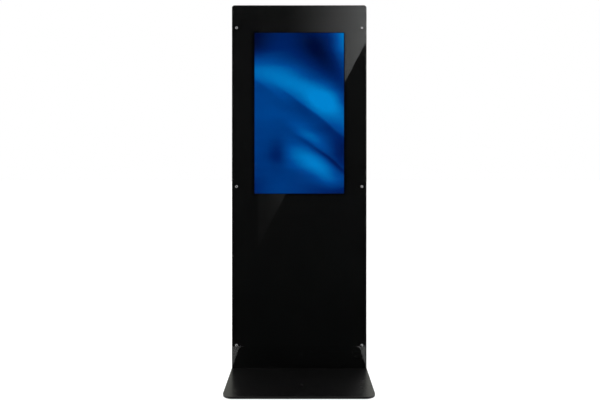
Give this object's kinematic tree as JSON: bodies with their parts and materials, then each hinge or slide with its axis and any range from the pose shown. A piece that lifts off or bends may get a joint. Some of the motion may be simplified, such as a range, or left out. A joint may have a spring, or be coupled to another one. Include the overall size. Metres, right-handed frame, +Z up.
{
  "type": "touchscreen kiosk",
  "caption": "Free-standing portrait touchscreen kiosk: flat steel base plate, slim glazed upright with a display, and a hinged, vented rear service door.",
  "frame": {"origin": "on the floor, under the middle of the base plate", "axes": "+Z up, the screen faces -Y, +X to the right for someone who faces the screen"},
  "size_m": [0.585, 0.44, 1.5853],
  "materials": {
    "satin_black": "satin powder coat",
    "rubber": "matte",
    "zinc_steel": "zinc plated",
    "stainless": "polished",
    "clear_glass": "polished, toughened",
    "black_border": "printed behind the glass",
    "touch_film": "clear film",
    "lit_screen": "lit display with an abstract blue picture",
    "backlight_tray": "metallised tray",
    "circuit_board": "solder mask",
    "black_aluminium": "anodised",
    "supply_case": "perforated metal cover",
    "black_plastic": "moulded",
    "foam": "closed-cell foam",
    "filter_mat": "open-cell filter mat",
    "chrome": "polished",
    "cable_jacket": "smooth jacket"
  },
  "bodies": {
    "kiosk": {"base_plate": "satin_black", "foot_pad_front_left": "rubber", "foot_pad_front_right": "rubber", "foot_pad_rear_left": "rubber", "foot_pad_rear_right": "rubber", "base_bracket": "zinc_steel", "base_bolt_1": "zinc_steel", "base_bolt_2": "zinc_steel", "base_bolt_3": "zinc_steel", "case_band": "satin_black", "front_sheet": "satin_black", "rear_frame": "satin_black", "rear_sill": "satin_black", "connector_plate": "satin_black", "front_glass": "clear_glass", "border_mask": "black_border", "glass_screw_1": "stainless", "glass_screw_2": "stainless", "glass_screw_3": "stainless", "glass_screw_4": "stainless", "glass_screw_5": "stainless", "glass_screw_6": "stainless", "touch_film": "touch_film", "touch_controller": "circuit_board", "display_bezel": "zinc_steel", "display_screen": "lit_screen", "backlight_tray": "backlight_tray", "display_rail_lower": "zinc_steel", "display_rail_upper": "zinc_steel", "display_board": "circuit_board", "media_player": "black_aluminium", "player_bracket": "zinc_steel", "power_supply": "supply_case", "power_inlet": "black_plastic", "network_socket": "black_plastic", "hinge_case_leaf_lower": "satin_black", "hinge_case_leaf_upper": "satin_black", "hinge_pin_lower": "stainless", "hinge_pin_upper": "stainless", "mains_lead": "cable_jacket", "display_lead": "cable_jacket"},
    "rear_door": {"rear_door": "satin_black", "door_rim": "satin_black", "door_gasket": "foam", "hinge_door_leaf_lower": "satin_black", "hinge_door_leaf_upper": "satin_black", "lock_housing_lower": "chrome", "lock_housing_upper": "chrome", "fan_frame_left": "black_plastic", "fan_frame_right": "black_plastic", "air_filter": "filter_mat"},
    "lower_lock": {"lock_plug_lower": "chrome", "lock_cam_lower": "zinc_steel"},
    "upper_lock": {"lock_plug_upper": "chrome", "lock_cam_upper": "zinc_steel"},
    "left_fan": {"fan_rotor_left": "black_plastic"},
    "right_fan": {"fan_rotor_right": "black_plastic"},
    "inlet_switch": {"inlet_switch": "black_plastic"},
    "fuse_drawer": {"fuse_drawer": "black_plastic"},
    "player_button": {"player_button": "stainless"}
  },
  "joints": [
    {"name": "rear_door_hinge", "type": "hinge", "parent": "kiosk", "child": "rear_door", "pos_m": [0.2748, 0.1732, 0.86055], "axis": [0, 0, -1], "range_deg": [0, 110]},
    {"name": "lower_lock_turn", "type": "hinge", "parent": "rear_door", "child": "lower_lock", "pos_m": [-0.238, 0.1804, 0.4578], "axis": [0, 1, 0], "range_deg": [0, 90]},
    {"name": "upper_lock_turn", "type": "hinge", "parent": "rear_door", "child": "upper_lock", "pos_m": [-0.238, 0.1804, 1.2633], "axis": [0, 1, 0], "range_deg": [0, 90]},
    {"name": "left_fan_spin", "type": "hinge", "parent": "rear_door", "child": "left_fan", "pos_m": [-0.08, 0.1536, 1.4928], "axis": [0, 1, 0], "continuous": true},
    {"name": "right_fan_spin", "type": "hinge", "parent": "rear_door", "child": "right_fan", "pos_m": [0.08, 0.1536, 1.4928], "axis": [0, 1, 0], "continuous": true},
    {"name": "inlet_switch_rock", "type": "hinge", "parent": "kiosk", "child": "inlet_switch", "pos_m": [0.19, 0.1679, 0.1138], "axis": [-1, 0, 0], "range_deg": [0, 12]},
    {"name": "fuse_drawer_slide", "type": "slide", "parent": "kiosk", "child": "fuse_drawer", "axis": [0, 1, 0], "range_m": [0, 0.016]},
    {"name": "player_button_press", "type": "slide", "parent": "kiosk", "child": "player_button", "axis": [1, 0, 0], "range_m": [0, 0.001], "stiffness_N_per_m": 1000, "springref_m": -0.001}
  ]
}
